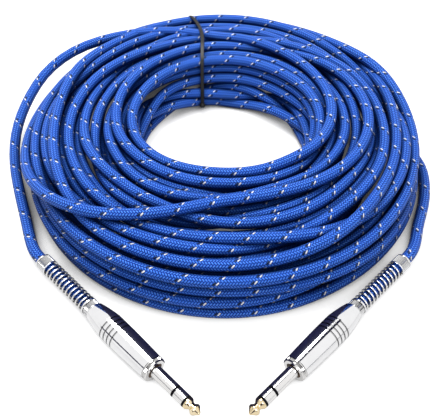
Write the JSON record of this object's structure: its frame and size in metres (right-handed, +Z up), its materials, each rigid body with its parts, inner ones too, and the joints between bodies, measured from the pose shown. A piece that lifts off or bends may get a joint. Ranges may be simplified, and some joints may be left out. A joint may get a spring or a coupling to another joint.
{
  "type": "instrument cable",
  "caption": "Braided instrument cable in a loose tied coil, with a three-pole phone plug, screw-off barrel and spring strain relief at each end.",
  "frame": {"origin": "on the surface the cable lies on, under the middle of its footprint", "axes": "+Z up through the coil's hole, -Y towards the two plug tips, +X to the right when the plugs point at the viewer"},
  "size_m": [0.2677, 0.2942, 0.0393],
  "materials": {
    "blue_braid": "woven nylon braid with white and black tracer flecks",
    "polished_chrome": "polished chrome plate",
    "bright_nickel": "bright nickel plate",
    "spring_wire": "bright plated spring steel",
    "gold_plate": "gold plate on brass",
    "black_insulator": "glossy black",
    "black_tie": "black with a slight sheen",
    "tinned_brass": "tin plate on brass",
    "brown_washer": "pressed fibre board",
    "clear_liner": "milky clear tube",
    "grey_jacket": "matt inner sheath",
    "red_insulation": "satin",
    "white_insulation": "satin",
    "bare_copper": "twisted bare copper",
    "solder": "dull solder"
  },
  "bodies": {
    "cord_and_contacts": {"tip_contact_a": "gold_plate", "tip_insulator_a": "black_insulator", "ring_contact_a": "bright_nickel", "ring_insulator_a": "black_insulator", "sleeve_contact_a": "bright_nickel", "cable_end_a": "blue_braid", "tip_lug_a": "tinned_brass", "ring_lug_a": "tinned_brass", "lug_washers_a": "brown_washer", "cable_clamp_a": "tinned_brass", "inner_jacket_a": "grey_jacket", "tip_wire_a": "red_insulation", "ring_wire_a": "white_insulation", "shield_pigtail_a": "bare_copper", "solder_joints_a": "solder", "tip_contact_b": "gold_plate", "tip_insulator_b": "black_insulator", "ring_contact_b": "bright_nickel", "ring_insulator_b": "black_insulator", "sleeve_contact_b": "bright_nickel", "cable_end_b": "blue_braid", "tip_lug_b": "tinned_brass", "ring_lug_b": "tinned_brass", "lug_washers_b": "brown_washer", "cable_clamp_b": "tinned_brass", "inner_jacket_b": "grey_jacket", "tip_wire_b": "red_insulation", "ring_wire_b": "white_insulation", "shield_pigtail_b": "bare_copper", "solder_joints_b": "solder", "coil": "blue_braid", "lead_a": "blue_braid", "lead_b": "blue_braid", "cable_tie": "black_tie"},
    "strain_relief_a": {"spring_collar_a": "polished_chrome", "strain_spring_a": "spring_wire", "spring_end_cap_a": "polished_chrome"},
    "barrel_shell_a": {"barrel_a": "polished_chrome", "barrel_liner_a": "clear_liner"},
    "strain_relief_b": {"spring_collar_b": "polished_chrome", "strain_spring_b": "spring_wire", "spring_end_cap_b": "polished_chrome"},
    "barrel_shell_b": {"barrel_b": "polished_chrome", "barrel_liner_b": "clear_liner"}
  },
  "joints": [
    {"name": "barrel_back_a", "type": "slide", "parent": "cord_and_contacts", "child": "strain_relief_a", "axis": [-0.7157, 0.6984, 0], "range_m": [0, 0.006]},
    {"name": "barrel_turn_a", "type": "hinge", "parent": "strain_relief_a", "child": "barrel_shell_a", "pos_m": [-0.02809, -0.1252, 0.0072], "axis": [-0.7157, 0.6984, 0], "range_deg": [0, 2880]},
    {"name": "barrel_back_b", "type": "slide", "parent": "cord_and_contacts", "child": "strain_relief_b", "axis": [0.7157, 0.6984, 0], "range_m": [0, 0.006]},
    {"name": "barrel_turn_b", "type": "hinge", "parent": "strain_relief_b", "child": "barrel_shell_b", "pos_m": [0.03889, -0.1252, 0.0072], "axis": [0.7157, 0.6984, 0], "range_deg": [0, 2880]}
  ],
  "couplings": [
    {"joint": "barrel_turn_a", "follows": "barrel_back_a", "rad_per_m": 8377.6},
    {"joint": "barrel_turn_b", "follows": "barrel_back_b", "rad_per_m": 8377.6}
  ]
}
